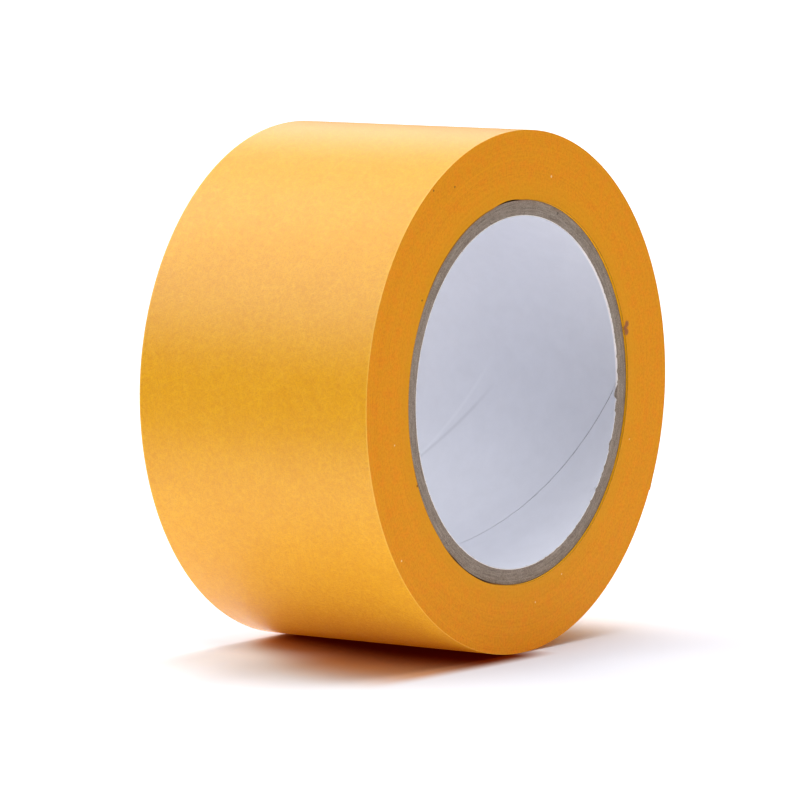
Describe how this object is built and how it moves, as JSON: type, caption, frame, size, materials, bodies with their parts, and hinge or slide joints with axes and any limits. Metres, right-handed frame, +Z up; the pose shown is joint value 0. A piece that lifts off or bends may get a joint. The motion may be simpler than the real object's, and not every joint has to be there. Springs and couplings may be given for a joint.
{
  "type": "masking tape roll",
  "caption": "Roll of smooth gold paper masking tape on a spiral-wound paperboard core, with a free end that peels away.",
  "frame": {"origin": "on the axis of the core's bore, halfway across the tape's width", "axes": "+Y along the bore, towards the back side face; +Z up with the roll standing on its tape; the free end lies on the +X side"},
  "size_m": [0.1134, 0.06, 0.1134],
  "materials": {
    "tape": "gold-yellow crepeless rice paper with a satin release coat on its outer side",
    "liner": "smooth white paper, matt",
    "board": "solid grey recycled paperboard, matt and fibrous where it is cut"
  },
  "bodies": {
    "roll": {"core_liner": "liner", "core_board_ply_1": "board", "core_board_ply_2": "board", "core_board_ply_3": "board", "core_board_ply_4": "board", "core_board_ply_5": "board", "tape_windings": "tape"},
    "tail_1": {"tape_tail_1": "tape"},
    "tail_2": {"tape_tail_2": "tape"},
    "tail_3": {"tape_tail_3": "tape"},
    "tail_4": {"tape_tail_4": "tape"},
    "tail_5": {"tape_tail_5": "tape"},
    "tail_6": {"tape_tail_6": "tape"},
    "tail_7": {"tape_tail_7": "tape"},
    "tail_8": {"tape_tail_8": "tape"}
  },
  "joints": [
    {"name": "tail_peel", "type": "hinge", "parent": "roll", "child": "tail_1", "pos_m": [0.04012, 0, 0.04012], "axis": [0, -1, 0], "range_deg": [0, 30]},
    {"name": "tail_uncurl_2", "type": "hinge", "parent": "tail_1", "child": "tail_2", "pos_m": [0.0459, 0, 0.03335], "axis": [0, -1, 0], "range_deg": [0, 27]},
    {"name": "tail_uncurl_3", "type": "hinge", "parent": "tail_2", "child": "tail_3", "pos_m": [0.05055, 0, 0.02576], "axis": [0, -1, 0], "range_deg": [0, 19.8]},
    {"name": "tail_uncurl_4", "type": "hinge", "parent": "tail_3", "child": "tail_4", "pos_m": [0.05396, 0, 0.01753], "axis": [0, -1, 0], "range_deg": [0, 15.48]},
    {"name": "tail_uncurl_5", "type": "hinge", "parent": "tail_4", "child": "tail_5", "pos_m": [0.05604, 0, 0.00888], "axis": [0, -1, 0], "range_deg": [0, 12.89]},
    {"name": "tail_uncurl_6", "type": "hinge", "parent": "tail_5", "child": "tail_6", "pos_m": [0.05674, 0, 0], "axis": [0, -1, 0], "range_deg": [0, 11.33]},
    {"name": "tail_uncurl_7", "type": "hinge", "parent": "tail_6", "child": "tail_7", "pos_m": [0.05605, 0, -0.00888], "axis": [0, -1, 0], "range_deg": [0, 10.4]},
    {"name": "tail_uncurl_8", "type": "hinge", "parent": "tail_7", "child": "tail_8", "pos_m": [0.05397, 0, -0.01754], "axis": [0, -1, 0], "range_deg": [0, 9.84]}
  ],
  "couplings": [
    {"joint": "tail_uncurl_2", "follows": "tail_peel", "ratio": 0.9},
    {"joint": "tail_uncurl_3", "follows": "tail_peel", "ratio": 0.66},
    {"joint": "tail_uncurl_4", "follows": "tail_peel", "ratio": 0.516},
    {"joint": "tail_uncurl_5", "follows": "tail_peel", "ratio": 0.4296},
    {"joint": "tail_uncurl_6", "follows": "tail_peel", "ratio": 0.37776},
    {"joint": "tail_uncurl_7", "follows": "tail_peel", "ratio": 0.34666},
    {"joint": "tail_uncurl_8", "follows": "tail_peel", "ratio": 0.328}
  ]
}
